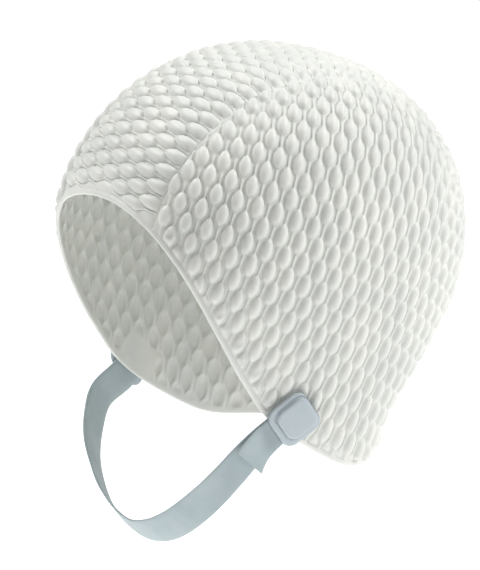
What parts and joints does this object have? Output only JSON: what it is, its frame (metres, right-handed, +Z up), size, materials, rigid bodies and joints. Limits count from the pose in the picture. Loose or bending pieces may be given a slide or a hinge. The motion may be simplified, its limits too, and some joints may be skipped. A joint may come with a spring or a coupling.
{
  "type": "swim cap",
  "caption": "Moulded latex bathing cap with raised bubbles, ear flaps and a chin strap that fastens on buttons",
  "frame": {"origin": "middle of the head that the cap is worn on, level with the cap's widest ring", "axes": "+Z up through the crown, -Y the way the wearer faces, +X the wearer's left"},
  "size_m": [0.1578, 0.1989, 0.2352],
  "materials": {
    "latex": "warm white moulded latex with a soft sheen",
    "strap": "smooth pale blue-grey rubber",
    "button": "pale lavender-grey plastic with a soft gloss"
  },
  "bodies": {
    "root": {"cap_shell": "latex", "button_left": "button", "button_right": "button", "strap": "strap", "strap_tab": "strap"}
  },
  "joints": []
}
